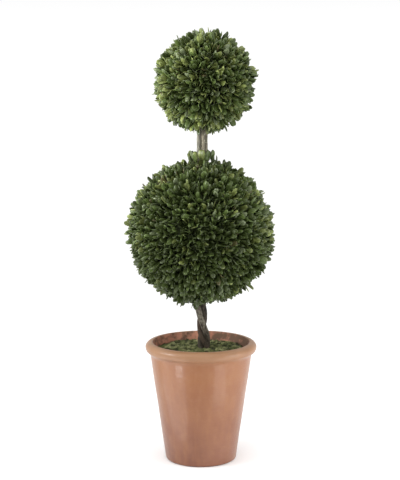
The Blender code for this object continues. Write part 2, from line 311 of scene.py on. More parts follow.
# Leaf tones dealt out by spray: base colour in linear red, green and blue, each tone's share in the
# lowest, the middle and the top whorl of a twig, and its step from deep to pale
LEAF_TONES = {
    "leaf_deep": {"colour": (0.052, 0.073, 0.018), "shares": (0.44, 0.32, 0.24), "step": -1.0},
    "leaf_green": {"colour": (0.087, 0.125, 0.032), "shares": (0.34, 0.35, 0.32), "step": 0.0},
    "leaf_olive": {"colour": (0.137, 0.166, 0.045), "shares": (0.12, 0.18, 0.23), "step": 0.7},
    "leaf_bright": {"colour": (0.214, 0.258, 0.074), "shares": (0.02, 0.06, 0.11), "step": 1.2},
    "leaf_sage": {"colour": (0.162, 0.196, 0.102), "shares": (0.05, 0.07, 0.09), "step": 0.6},
    "leaf_tan": {"colour": (0.092, 0.084, 0.030), "shares": (0.03, 0.02, 0.01), "step": 0.0},
}
LEAF_SHADES = (0.74, 1.24)

# Other tones in linear red, green and blue, from darker to lighter where there are two
BALL_INSIDE = ((0.048, 0.062, 0.028), (0.110, 0.135, 0.064))
TWIG_BARK = ((0.028, 0.026, 0.014), (0.085, 0.076, 0.042))
MOSS_MAT = ((0.020, 0.026, 0.010), (0.105, 0.120, 0.048))
SOIL = ((0.010, 0.007, 0.004), (0.060, 0.042, 0.026))
LICHEN = (0.400, 0.400, 0.300)
DARK_BARK_FOOT = (0.034, 0.026, 0.013)
CLAY_LOW = ((0.200, 0.070, 0.035), (0.249, 0.099, 0.051))
CLAY_HIGH = ((0.258, 0.090, 0.026), (0.287, 0.108, 0.031))
CLAY_RIM = ((0.284, 0.150, 0.075), (0.326, 0.181, 0.096))
CLAY_INSIDE = ((0.480, 0.200, 0.125), (0.620, 0.290, 0.190))
UPRIGHT_STREAK = (0.306, 0.131, 0.048)
DUST = (0.325, 0.150, 0.066)
SPECK = (0.170, 0.060, 0.022)
# Brown of the inside wall's stains, also laid on as painted shade towards its sides
STAIN_AND_SHADE = (0.130, 0.082, 0.050)

# Darks, lights and cracks of the bark as shares of its tones, below and above the lower ball, and the
# share of the lichen that grows below it
BARK_SHADES = ((0.35, 0.42), (1.35, 1.30), (0.16, 0.24))
LOW_LICHEN = 0.25

# Roughness of the clay and its spread, and the share of the wax that is worn off the rim
CLAY_ROUGHNESS = 0.34
CLAY_ROUGHNESS_SPREAD = 0.14
WAX_WEAR = 0.85

# Stops at which finishes change: noise that is made into soft patches, heights in metres, and places
# across the pot's mouth from 0 at the left to 1 at the right, by which the inside wall gets painted
# shade
SOFT_PATCHES = ((0.35, 0.0), (0.65, 1.0))
CLAY_CHANGE = ((0.03, 0.0), (0.19, 1.0))
RIM_WEAR = ((0.228, 0.0), (0.240, 0.75), (0.255, 1.0))
BARK_CHANGE = ((0.38, 0.0), (0.60, 1.0))
BARK_FOOT_DARKENING = ((0.272, 0.62), (0.316, 0.0))
BARK_FOOT_WAVE = 0.03
MOUTH_WIDTH = 0.25
MOUTH_SIDE_SHADE = ((0.02, 0.12), (0.20, 0.0), (0.48, 0.0), (0.86, 0.21))


class Wire:
    """One output in a node tree, so that shader maths is written as arithmetic."""

    def __init__(self, tree, socket):
        self.tree = tree
        self.socket = socket

    def maths(self, operation, first, second):
        return self.tree.node("ShaderNodeMath", {"operation": operation}, {0: first, 1: second})

    def __add__(self, other):
        return self.maths("ADD", self, other)

    def __radd__(self, other):
        return self.maths("ADD", other, self)

    def __sub__(self, other):
        return self.maths("SUBTRACT", self, other)

    def __rsub__(self, other):
        return self.maths("SUBTRACT", other, self)

    def __mul__(self, other):
        return self.maths("MULTIPLY", self, other)

    def __rmul__(self, other):
        return self.maths("MULTIPLY", other, self)

    def __pow__(self, other):
        return self.maths("POWER", self, other)

    def at_least(self, least):
        return self.maths("MAXIMUM", self, least)


class Nodes:
    """A node tree that grows by node()."""

    def __init__(self, tree):
        self.tree = tree

    def fill(self, node, sockets):
        """Give a node's inputs their values or links."""
        for key, value in sockets.items():
            if isinstance(value, Wire):
                self.tree.links.new(value.socket, node.inputs[key])
            else:
                node.inputs[key].default_value = value

    def node(self, kind, settings=None, sockets=None, output=0):
        """Add a node with its settings, then its sockets, and return one of its outputs."""
        node = self.tree.nodes.new(kind)
        for setting, value in (settings or {}).items():
            if setting == "stops":
                self.set_stops(node.color_ramp, value)
            else:
                setattr(node, setting, value)
        self.fill(node, sockets or {})
        return Wire(self, node.outputs[output])

    def set_stops(self, ramp, stops):
        """Give a colour ramp its stops, as place and grey value."""
        while len(ramp.elements) < len(stops):
            ramp.elements.new(1.0)
        for element, (place, grey) in zip(ramp.elements, stops):
            element.position = place
            element.color = (grey, grey, grey, 1.0)


class Finish(Nodes):
    """One material: patterns on object coordinates that end in one Principled shader."""

    def __init__(self, name):
        self.material = bpy.data.materials.new(name)
        self.material.use_nodes = True
        super().__init__(self.material.node_tree)
        self.shader = self.tree.nodes["Principled BSDF"]

    def place(self, scale=(1.0, 1.0, 1.0)):
        """Object coordinates, stretched by a scale on each axis."""
        coordinates = self.node("ShaderNodeTexCoord", output="Object")
        return self.node("ShaderNodeMapping", sockets={"Vector": coordinates, "Scale": scale})

    def height(self):
        """Height above the floor in metres."""
        return self.node("ShaderNodeSeparateXYZ", sockets={"Vector": self.place()}, output="Z")

    def cloud(self, where, size, detail=3.0, roughness=0.5):
        """Soft noise between 0 and 1 whose patches have about one size, in metres."""
        sockets = {"Vector": where, "Scale": 1 / size, "Detail": detail, "Roughness": roughness}
        return self.node("ShaderNodeTexNoise", sockets=sockets, output="Fac")

    def ramp(self, value, *stops):
        """A grey value read from another through stops."""
        return self.node("ShaderNodeValToRGB", {"stops": stops}, {"Fac": value})

    def mix(self, share, first, second):
        """One colour faded into another by a share."""
        first = (*first, 1.0) if isinstance(first, tuple) else first
        second = (*second, 1.0) if isinstance(second, tuple) else second
        sockets = {0: share, 6: first, 7: second}
        return self.node("ShaderNodeMix", {"data_type": "RGBA"}, sockets, output=2)

    def bump(self, height, depth, strength=1.0):
        """A normal bent by a height map of a depth in metres."""
        sockets = {"Height": height, "Distance": depth, "Strength": strength}
        return self.node("ShaderNodeBump", sockets=sockets)

    def surface(self, **sockets):
        """Fill the shader's sockets, named with underscores, and return the material."""
        self.fill(self.shader, {name.replace("_", " "): value for name, value in sockets.items()})
        return self.material


def shade(colour, amount):
    """A colour made darker or lighter."""
    return tuple(amount * part for part in colour)


def leaf_finish(name, colour):
    """Preserved boxwood leaf: one tone, a little darker and lighter in patches, with a soft sheen."""
    finish = Finish(name)
    patches = finish.cloud(finish.place(), size=0.010, detail=2.0)
    dark, light = (shade(colour, amount) for amount in LEAF_SHADES)
    tone = finish.mix(finish.ramp(patches, (0.30, 0.0), (0.70, 1.0)), dark, light)
    return finish.surface(Base_Color=tone, Roughness=0.42, Specular_IOR_Level=0.42)


def core_finish():
    """Shaded inside of a ball: dark dry stalks and old leaves."""
    finish = Finish("ball_inside")
    patches = finish.ramp(finish.cloud(finish.place(), size=0.006, detail=4.0), *SOFT_PATCHES)
    tone = finish.mix(patches, *BALL_INSIDE)
    return finish.surface(Base_Color=tone, Roughness=0.95, Specular_IOR_Level=0.05)


def twig_finish():
    """Thin grey-brown twigs."""
    finish = Finish("twig_bark")
    tone = finish.mix(finish.cloud(finish.place(), size=0.004), *TWIG_BARK)
    return finish.surface(Base_Color=tone, Roughness=0.85)


def bark_finish(name, low, high, lichen):
    """Dry bark: lengthwise streaks, dark cracks and pale lichen, browner below and dark at the moss."""
    finish = Finish(name)
    along = finish.place(scale=(1.0, 1.0, 0.16))
    streaks = finish.cloud(along, size=0.0016, detail=5.0, roughness=0.6)
    cracks = finish.ramp(finish.cloud(along, size=0.0030, detail=4.0), (0.36, 0.0), (0.48, 1.0))
    broad = finish.cloud(finish.place(), size=0.020, detail=2.0)
    risen = finish.ramp(finish.height(), *BARK_CHANGE)
    dark, light, crack = (
        finish.mix(risen, shade(low, below), shade(high, above)) for below, above in BARK_SHADES
    )
    cracked = finish.mix(cracks, crack, finish.mix(streaks, dark, light))
    spots = finish.cloud(finish.place(), size=0.0050, detail=4.0, roughness=0.65)
    patch = finish.ramp(spots * 0.7 + broad * 0.3, (lichen, 0.0), (lichen + 0.05, 1.0))
    aged = finish.mix(patch * (LOW_LICHEN + (1 - LOW_LICHEN) * risen), cracked, LICHEN)
    # Darker towards the moss at the stems' feet
    darkening = finish.ramp(finish.height() + BARK_FOOT_WAVE * broad, *BARK_FOOT_DARKENING)
    tone = finish.mix(darkening, aged, DARK_BARK_FOOT)
    relief = finish.bump(streaks * 0.6 + cracks * 0.4 + patch * 0.3, depth=0.0009)
    return finish.surface(Base_Color=tone, Roughness=0.84, Normal=relief, Specular_IOR_Level=0.35)


def terracotta_finish():
    """Fired clay: redder low down, pale and worn on the rim, with turning marks and lighter upright
    streaks.
    """
    finish = Finish("terracotta")
    where = finish.place()
    broad = finish.ramp(finish.cloud(where, size=0.060), *SOFT_PATCHES)
    middle = finish.cloud(where, size=0.016, detail=4.0, roughness=0.55)
    grain = finish.cloud(where, size=0.0011)
    turning = finish.cloud(finish.place(scale=(1.0, 1.0, 45.0)), size=0.060)
    upright = finish.cloud(finish.place(scale=(1.0, 1.0, 0.05)), size=0.0095)
    upright_streaks = finish.ramp(upright, (0.45, 0.0), (0.70, 0.30))
    risen = finish.ramp(finish.height(), *CLAY_CHANGE)
    worn = finish.ramp(finish.height(), *RIM_WEAR)
    low, high, rim = (finish.mix(broad, *tones) for tones in (CLAY_LOW, CLAY_HIGH, CLAY_RIM))
    body = finish.mix(upright_streaks, finish.mix(risen, low, high), UPRIGHT_STREAK)
    clay = finish.mix(worn, body, rim)
    dusty = finish.mix(finish.ramp(middle, (0.50, 0.0), (0.80, 0.35)), clay, DUST)
    tone = finish.mix(finish.ramp(grain, (0.62, 0.0), (0.80, 0.20)), dusty, SPECK)
    return finish.surface(
        Base_Color=tone,
        Roughness=CLAY_ROUGHNESS + CLAY_ROUGHNESS_SPREAD * middle,
        Normal=finish.bump(turning * 0.8 + grain * 0.2, depth=0.0009, strength=0.6),
        Specular_IOR_Level=0.42,
        Coat_Weight=WAX_WEIGHT * (1 - WAX_WEAR * worn),
        Coat_Roughness=WAX_ROUGHNESS,
    )


def raw_clay_finish():
    """Unwaxed clay inside the pot: pinker and dry, with brown stains and painted shade, most on the
    right.
    """
    finish = Finish("raw_clay")
    where = finish.place()
    broad = finish.ramp(finish.cloud(where, size=0.030), *SOFT_PATCHES)
    grain = finish.cloud(where, size=0.0012)
    blots = finish.cloud(where, size=0.018, detail=4.0, roughness=0.6)
    side = finish.node("ShaderNodeSeparateXYZ", sockets={"Vector": where}, output="X")
    # Painted shade: the inside wall darkens towards its left and right sides
    darkening = finish.ramp(0.5 + (1 / MOUTH_WIDTH) * side, *MOUTH_SIDE_SHADE)
    stain_and_shade = finish.ramp(blots + darkening, (0.48, 0.0), (0.66, 0.90))
    tone = finish.mix(stain_and_shade, finish.mix(broad, *CLAY_INSIDE), STAIN_AND_SHADE)
    relief = finish.bump(grain, depth=0.0006, strength=0.5)
    return finish.surface(Base_Color=tone, Roughness=0.85, Normal=relief)


def soil_finish():
    """Dark crumbly filling between the stems' feet."""
    finish = Finish("filling_soil")
    crumbs = finish.cloud(finish.place(), size=0.003, detail=5.0, roughness=0.7)
    relief = finish.bump(crumbs, depth=0.002)
    return finish.surface(Base_Color=finish.mix(crumbs, *SOIL), Roughness=0.95, Normal=relief)


def moss_finish(name, dark, light):
    """Dry moss: one tone broken into fine light and dark tufts."""
    finish = Finish(name)
    tufts = finish.cloud(finish.place(), size=0.0024, detail=4.0, roughness=0.7)
    patches = finish.cloud(finish.place(), size=0.015, detail=2.0)
    tone = finish.mix(finish.ramp(tufts * 0.6 + patches * 0.4, (0.38, 0.0), (0.62, 1.0)), dark, light)
    return finish.surface(Base_Color=tone, Roughness=0.95, Normal=finish.bump(tufts, depth=0.0012))


def floor_finish():
    """Plain pale floor."""
    finish = Finish("studio_floor")
    return finish.surface(Base_Color=(*FLOOR_COLOUR, 1.0), Roughness=0.90, Specular_IOR_Level=0.0)


def add_primitive(name, add, **settings):
    """Add a primitive by its operator while nothing else is selected."""
    bpy.ops.object.select_all(action="DESELECT")
    add(**settings)
    thing = bpy.context.object
    thing.name = name
    return thing


def add_object(name, data):
    """Put a mesh, a light or a camera into the scene."""
    thing = bpy.data.objects.new(name, data)
    bpy.context.scene.collection.objects.link(thing)
    return thing


def select_only(thing):
    """Make one object the only selected and active one."""
    bpy.ops.object.select_all(action="DESELECT")
    thing.select_set(True)
    bpy.context.view_layer.objects.active = thing


def pick(thing, wanted):
    """Select an object's vertices whose place is wanted, and leave it in edit mode."""
    bpy.ops.object.mode_set(mode="OBJECT")
    mesh = thing.data
    for edge in mesh.edges:
        edge.select = False
    for face in mesh.polygons:
        face.select = False
    for vertex in mesh.vertices:
        vertex.select = wanted(vertex.co)
    bpy.ops.object.mode_set(mode="EDIT")
    bpy.context.tool_settings.mesh_select_mode = (True, False, False)


def pick_all():
    """Open the active object in edit mode with all of it selected."""
    bpy.ops.object.mode_set(mode="EDIT")
    bpy.ops.mesh.select_all(action="SELECT")


def settle(thing):
    """Leave edit mode and fix an object's place in its mesh."""
    if bpy.context.mode != "OBJECT":
        bpy.ops.object.mode_set(mode="OBJECT")
    select_only(thing)
    bpy.ops.object.transform_apply(location=True, rotation=True, scale=True)


def face_outwards(thing):
    """Turn all faces of an open object outwards, and leave edit mode."""
    bpy.ops.mesh.select_all(action="SELECT")
    bpy.ops.mesh.normals_make_consistent(inside=False)
    settle(thing)


def draw_rings(name, rings, sides, fill):
    """Draw a circle on from ring to ring. A ring is its middle, its radius and its turn about Z."""
    middle, radius, turn = rings[0]
    thing = add_primitive(
        name,
        bpy.ops.mesh.primitive_circle_add,
        vertices=sides,
        radius=radius,
        fill_type=fill,
        location=middle,
        rotation=(0, 0, turn),
    )
    pick_all()
    for (middle, radius, turn), (next_middle, next_radius, next_turn) in zip(rings, rings[1:]):
        size = next_radius / radius
        bpy.ops.mesh.extrude_region_move(TRANSFORM_OT_translate={"value": next_middle - middle})
        bpy.ops.transform.resize(value=(size, size, 1), center_override=next_middle)
        bpy.ops.transform.rotate(value=turn - next_turn, orient_axis="Z", center_override=next_middle)
    return thing


def draw_column(name, rings, sides):
    """Draw a closed column upwards or back down from a disc, ring by ring."""
    column = draw_rings(name, rings, sides, "NGON")
    face_outwards(column)
    return column


def move_vertices(thing, shift):
    """Move each vertex by what a function says of its place and its normal."""
    mesh = thing.data
    places = [vertex.co.copy() for vertex in mesh.vertices]
    normals = [normal.vector.copy() for normal in mesh.vertex_normals]
    for vertex, place, normal in zip(mesh.vertices, places, normals):
        vertex.co = place + shift(place, normal)
    mesh.update()


def apply_modifier(thing, kind, **settings):
    """Add a modifier, set it and apply it."""
    select_only(thing)
    change = thing.modifiers.new(kind.lower(), kind)
    for setting, value in settings.items():
        setattr(change, setting, value)
    bpy.ops.object.modifier_apply(modifier=change.name)


def smooth(thing, turn):
    """Shade an object smooth where its faces turn less than an angle."""
    select_only(thing)
    bpy.ops.object.shade_smooth_by_angle(angle=turn)


def finish_piece(piece, material, node):
    """Give a piece its material and its body, and hide the node that it stands for."""
    piece.data.materials.clear()
    piece.data.materials.append(material)
    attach(piece, "root")
    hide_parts(node)


def arc(centre, half_width, half_height, start, end, steps):
    """Points of an elliptical arc between two angles in degrees, both ends included."""
    points = []
    for step in range(steps + 1):
        angle = math.radians(start + (end - start) * step / steps)
        across = half_width * math.cos(angle)
        up = half_height * math.sin(angle)
        points.append((centre[0] + across, centre[1] + up))
    return points


def rounded(start, corner, end, steps):
    """Points that round off a corner between two others, the start left out."""
    points = []
    for step in range(1, steps + 1):
        part = step / steps
        near = (1 - part) ** 2
        middle = 2 * part * (1 - part)
        far = part**2
        points.append(tuple(near * a + middle * b + far * c for a, b, c in zip(start, corner, end)))
    return points


def body_radius(height):
    """Outside of the pot's cone."""
    return POT_FOOT_RADIUS + POT_DRAFT * height


def inner_radius(height):
    """Inside of the pot's cone."""
    return body_radius(height) - POT_WALL


def pot_profile():
    """Radius and height pairs from the underside up the outside, over the rim and down inside."""
    foot_radius = body_radius(FOOT_ROUND) - FOOT_ROUND
    lip_height = POT_TOP - LIP_ROUND
    lip_width = RIM_CREST_RADIUS - inner_radius(lip_height)
    neck = body_radius(RIM_BOTTOM)
    above = (RIM_RADIUS - RIM_CREST_RADIUS, POT_TOP - RIM_WIDEST)
    below = (RIM_RADIUS - neck, RIM_WIDEST - RIM_BOTTOM)
    points = [(foot_radius * step / UNDERSIDE_STEPS, 0.0) for step in range(1, UNDERSIDE_STEPS)]
    points += arc((foot_radius, FOOT_ROUND), FOOT_ROUND, FOOT_ROUND, -90, 0, ROUND_STEPS)
    neck_start = RIM_BOTTOM - NECK_ROUND
    for step in range(1, BODY_STEPS + 1):
        height = FOOT_ROUND + (neck_start - FOOT_ROUND) * step / BODY_STEPS
        points.append((body_radius(height), height))
    under_rim = arc((neck, RIM_WIDEST), *below, -NECK_ANGLE, 0, RIM_STEPS)
    points += rounded(points[-1], (neck, RIM_BOTTOM), under_rim[0], ROUND_STEPS)
    points += under_rim[1:]
    points += arc((RIM_CREST_RADIUS, RIM_WIDEST), *above, 0, 90, RIM_STEPS)[1:]
    points += arc((RIM_CREST_RADIUS, lip_height), lip_width, LIP_ROUND, 90, 180, ROUND_STEPS)[1:]
    for step in range(1, BODY_STEPS + 1):
        height = lip_height + (POT_FLOOR - lip_height) * step / BODY_STEPS
        points.append((inner_radius(height), height))
    for step in range(1, UNDERSIDE_STEPS):
        points.append((inner_radius(POT_FLOOR) * (1 - step / UNDERSIDE_STEPS), POT_FLOOR))
    return points


def hand_made(place, normal):
    """How far a hand-thrown pot strays from a true turned one."""
    if place.z < FOOT_ROUND:
        return Vector((0, 0, 0))
    sway = noise.noise(place / HAND_WOBBLE_WIDTH)
    ring = math.sin(math.tau * place.z / THROWING_PITCH + THROWING_SWAY * sway)
    return Vector((normal.x, normal.y, 0)) * (HAND_WOBBLE * sway + THROWING_RING * ring)


def build_pot():
    """Terracotta pot, drawn up from its underside, with raw clay inside."""
    rings = [(Vector((0, 0, height)), radius, 0.0) for radius, height in pot_profile()]
    pot = draw_column("pot_body", rings, POT_SIDES)
    move_vertices(pot, hand_made)
    smooth(pot, POT_SMOOTH_TURN)
    finish_piece(pot, terracotta_finish(), "pot")
    pot.data.materials.append(raw_clay_finish())
    for face in pot.data.polygons:
        inwards = face.normal.xy.dot(face.center.xy) < 0
        if inwards and face.center.xy.length < inner_radius(face.center.z) + HAND_WOBBLE:
            face.material_index = 1


def trunk_swell(height):
    """How much thicker the trunk is than its waist: flared at the foot, tapering upwards."""
    rise = height - STEM_FOOT
    return 1 + FLARE * math.exp(-rise / FLARE_FALL) - TAPER * rise / (STEM_TIP - STEM_FOOT)


def trunk_axis(height):
    """Middle of the trunk, which leans to the right at its foot and again towards its tip."""
    rise = height - STEM_FOOT
    part = rise / (STEM_TIP - STEM_FOOT)
    lean = LEAN_BASE + LEAN_FOOT * math.exp(-rise / LEAN_FALL) + LEAN_TOP * part**LEAN_TOP_POWER
    return Vector((lean, 0.0, height))


def trunk_twist(height):
    """Angle that the stems have turned through, fast at the foot and slow above."""
    rise = height - STEM_FOOT
    return TWIST_START - TWIST_RATE * TWIST_FALL * math.tanh(rise / TWIST_FALL)


def stem_seats():
    """Where each stem lies in the bundle at the waist, with only a narrow gap to both of the others."""
    first, second, third = STEM_RADII.values()
    side_a = first + second + STEM_GAP
    side_b = first + third + STEM_GAP
    side_c = second + third + STEM_GAP
    along = (side_a**2 + side_b**2 - side_c**2) / (2 * side_a)
    seats = [Vector((0, 0)), Vector((side_a, 0)), Vector((along, math.sqrt(side_b**2 - along**2)))]
    middle = sum(seats, Vector((0, 0))) / len(seats)
    turn = math.atan2(middle.y, middle.x) + math.pi
    placed = []
    for seat in seats:
        offset = seat - middle
        offset.rotate(Matrix.Rotation(-turn, 2))
        placed.append(offset)
    return dict(zip(STEM_RADII, placed))


def stem_middle(seat, height):
    """Middle of one stem at a height."""
    offset = seat * trunk_swell(height)
    offset.rotate(Matrix.Rotation(trunk_twist(height), 2))
    return trunk_axis(height) + Vector((offset.x, offset.y, 0))


def stem_rings(radius, seat):
    """Rings of one stem from its flat foot to its rounded tip."""
    count = math.ceil((STEM_TIP - STEM_TIP_ROUND - STEM_FOOT) / STEM_RING_STEP)
    rings = []
    for step in range(count + 1):
        height = STEM_FOOT + (STEM_TIP - STEM_TIP_ROUND - STEM_FOOT) * step / count
        rings.append((stem_middle(seat, height), radius * trunk_swell(height), trunk_twist(height)))
    tip_size = radius * trunk_swell(STEM_TIP) * STEM_TIP_SIZE
    rings.append((stem_middle(seat, STEM_TIP), tip_size, trunk_twist(STEM_TIP)))
    return rings


def bark_relief(seat, number):
    """A function that says how the bark of one stem rises and falls."""
    start = BARK_SHIFT * number

    def relief(place, normal):
        if not STEM_FOOT + CLEARANCE < place.z < STEM_TIP - CLEARANCE:
            return Vector((0, 0, 0))
        local = place - stem_middle(seat, place.z)
        local.rotate(Matrix.Rotation(-trunk_twist(place.z), 3, "Z"))
        stretched = Vector((local.x, local.y, place.z * BARK_RIDGE_WIDTH / BARK_RIDGE_LENGTH))
        ridge = noise.fractal(stretched / BARK_RIDGE_WIDTH + start, *BARK_NOISE)
        knob = noise.noise(place / BARK_KNOB_WIDTH + start)
        return normal * (BARK_RIDGE * ridge + BARK_KNOB * knob)

    return relief


def build_stems(seats):
    """The trunk: three barked stems, each in its own tones."""
    for number, (name, radius) in enumerate(STEM_RADII.items()):
        stem = draw_column(f"{name}_bark", stem_rings(radius, seats[name]), STEM_SIDES)
        apply_modifier(stem, "SUBSURF", subdivision_type="SIMPLE", levels=1, render_levels=1)
        move_vertices(stem, bark_relief(seats[name], number))
        smooth(stem, SMOOTH_TURN)
        finish_piece(stem, bark_finish(**BARKS[name]), name)


def trunk_girth(seats):
    """Radius of the round hole that just holds the bundle at its waist."""
    return max(seats[name].length + STEM_RADII[name] for name in STEM_RADII)


def moss_lumps():
    """Middles and heights of the cushions in the moss."""
    chance = random.Random(MOSS_SEED)
    lumps = []
    for _ in range(MOSS_LUMPS):
        radius = inner_radius(SOIL_LEVEL) * math.sqrt(chance.random())
        angle = chance.uniform(0, math.tau)
        height = MOSS_LUMP * chance.uniform(MOSS_LUMP_LEAST, 1.0)
        lumps.append((radius * math.cos(angle), radius * math.sin(angle), height))
    return lumps


def moss_height(x, y, lumps):
    """Top of the moss: a low dome with its tallest cushion at that place."""
    tallest = 0.0
    for lump_x, lump_y, height in lumps:
        away = ((x - lump_x) ** 2 + (y - lump_y) ** 2) / MOSS_LUMP_WIDTH**2
        tallest = max(tallest, height * math.exp(-away))
    dome = MOSS_DOME * (1 - (x**2 + y**2) / inner_radius(SOIL_LEVEL) ** 2)
    return SOIL_LEVEL + MOSS_THICKNESS + dome + tallest


def build_moss_mat(seats, lumps):
    """The mat that the tufts stand in, drawn inwards over the filling to the trunk's foot."""
    low = SOIL_LEVEL + CLEARANCE
    high = low + MOSS_THICKNESS
    outside = inner_radius(low) - CLEARANCE
    hole = trunk_girth(seats) * trunk_swell(high)
    foot = trunk_axis(high)
    rings = []
    for height, start, end, count in ((low, 0, 1, MOSS_UNDERSIDE_RINGS), (high, 1, 0, MOSS_RINGS)):
        for step in range(count + 1):
            part = start + (end - start) * step / count
            middle = Vector((foot.x * (1 - part), 0, height))
            rings.append((middle, hole + (outside - hole) * part, 0.0))
    mat = draw_rings("moss_mat", rings, MOSS_SIDES, "NOTHING")
    settle(mat)
    pick(mat, lambda place: abs((place - foot).xy.length - hole) < CLEARANCE)
    bpy.ops.mesh.bridge_edge_loops()
    face_outwards(mat)

    def cushion(place, normal):
        if place.z < low + MOSS_THICKNESS / 2:
            return Vector((0, 0, 0))
        grain = noise.fractal(place / MOSS_GRAIN, *MOSS_NOISE)
        top = moss_height(place.x, place.y, lumps) + MOSS_RELIEF * (grain - 0.5) - MOSS_SINK
        return Vector((0, 0, top - place.z))

    move_vertices(mat, cushion)
    select_only(mat)
    bpy.ops.object.shade_smooth()
    finish_piece(mat, moss_finish("moss_mat", *MOSS_MAT), "moss")


def read_pattern(thing):
    """Vertices and faces of a modelled shape as arrays. The shape itself is removed."""
    mesh = thing.data
    places = np.empty(len(mesh.vertices) * 3, np.float32)
    mesh.vertices.foreach_get("co", places)
    corners = np.empty(len(mesh.loops), np.int32)
    mesh.loops.foreach_get("vertex_index", corners)
    sizes = np.empty(len(mesh.polygons), np.int32)
    mesh.polygons.foreach_get("loop_total", sizes)
    bpy.data.objects.remove(thing, do_unlink=True)
    return places.reshape(-1, 3), corners, sizes


def joined_copies(name, groups):
    """One mesh that holds a copy of each group's pattern at each of its places."""
    parts = []
    start = 0
    for (places, corners, sizes), matrices in groups:
        if not matrices:
            continue
        frames = np.array(matrices, np.float32)
        copies = np.einsum("nij,vj->nvi", frames[:, :, :3], places) + frames[:, None, :, 3]
        offsets = start + len(places) * np.arange(len(frames), dtype=np.int32)
        numbers = (corners[None, :] + offsets[:, None]).reshape(-1)
        parts.append((copies.reshape(-1, 3), numbers, np.tile(sizes, len(frames))))
        start += len(places) * len(frames)
    places, corners, sizes = (np.concatenate(part) for part in zip(*parts))
    starts = np.concatenate(([0], np.cumsum(sizes)[:-1])).astype(np.int32)
    mesh = bpy.data.meshes.new(name)
    mesh.vertices.add(len(places))
    mesh.vertices.foreach_set("co", places.reshape(-1))
    mesh.loops.add(len(corners))
    mesh.loops.foreach_set("vertex_index", corners)
    mesh.polygons.add(len(sizes))
    mesh.polygons.foreach_set("loop_start", starts)
    mesh.polygons.foreach_set("use_smooth", np.ones(len(sizes), bool))
    mesh.update(calc_edges=True)
    mesh.validate()
    return add_object(name, mesh)


def place_matrix(root, across, along, over):
    """Three rows of four numbers that put a pattern's X, Y and Z along three arms from a root."""
    return [(across[i], along[i], over[i], root[i]) for i in range(3)]


def side_ways(along):
    """Two directions across a given one, the first of them level unless that one is steep."""
    helper = Vector((0, 0, 1)) if abs(along.z) < STEEP else Vector((1, 0, 0))
    across = along.cross(helper).normalized()
    return across, along.cross(across).normalized()


def model_leaf(name, fold, curl):
    """One leaf of length 1 and width 1: an oval blade folded along its rib, as a closed thin shape."""
    rows = len(LEAF_ROWS) - 1
    leaf = add_primitive(
        name,
        bpy.ops.mesh.primitive_grid_add,
        x_subdivisions=2,
        y_subdivisions=rows,
        size=1,
        location=(0, 0.5, 0),
    )
    settle(leaf)
    for row in range(rows, -1, -1):
        even = row / rows
        share = LEAF_ROWS[row]
        width = LEAF_OUTLINE[row]
        pick(leaf, lambda place: abs(place.y - even) < NEAR)
        bpy.ops.transform.resize(value=(width, 1, 1), center_override=(0, even, 0))
        bpy.ops.transform.translate(value=(0, share - even, curl * share**2))
        pick(leaf, lambda place: abs(place.y - share) < NEAR and abs(place.x) > NEAR)
        bpy.ops.transform.translate(value=(0, 0, fold * width / 2))
    bpy.ops.object.mode_set(mode="OBJECT")
    apply_modifier(leaf, "SOLIDIFY", thickness=LEAF_BLADE, offset=0.0)
    return read_pattern(leaf)


def model_twig():
    """One twig of length 1 and radius 1, tapering to its tip."""
    waist_height, waist_size = TWIG_WAIST
    rings = [
        (Vector((0, 0, 0)), 1.0, 0.0),
        (Vector((0, 0, waist_height)), waist_size, 0.0),
        (Vector((0, 0, 1)), TWIG_TIP_SIZE, 0.0),
    ]
    return read_pattern(draw_column("twig_pattern", rings, TWIG_SIDES))


def model_sprig():
    """One sprig of moss: small pointed blades that lean out from one foot."""
    blades = []
    for number in range(SPRIG_BLADES):
        blade = add_primitive(
            "sprig_blade",
            bpy.ops.mesh.primitive_cone_add,
            vertices=3,
            radius1=SPRIG_BLADE_RADIUS,
            radius2=0.0,
            depth=1.0,
            location=(0, 0, 0.5),
        )
        pick_all()
        tilt = SPRIG_TILT[0] + SPRIG_TILT[1] * number
        bpy.ops.transform.resize(value=SPRIG_BLADE_SHAPE, center_override=(0, 0, 0))
        bpy.ops.transform.rotate(value=tilt, orient_axis="X", center_override=(0, 0, 0))
        turn = number * GOLDEN_ANGLE
        bpy.ops.transform.rotate(value=turn, orient_axis="Z", center_override=(0, 0, 0))
        settle(blade)
        blades.append(blade)
    select_only(blades[0])
    for blade in blades:
        blade.select_set(True)
    bpy.ops.object.join()
    return read_pattern(blades[0])


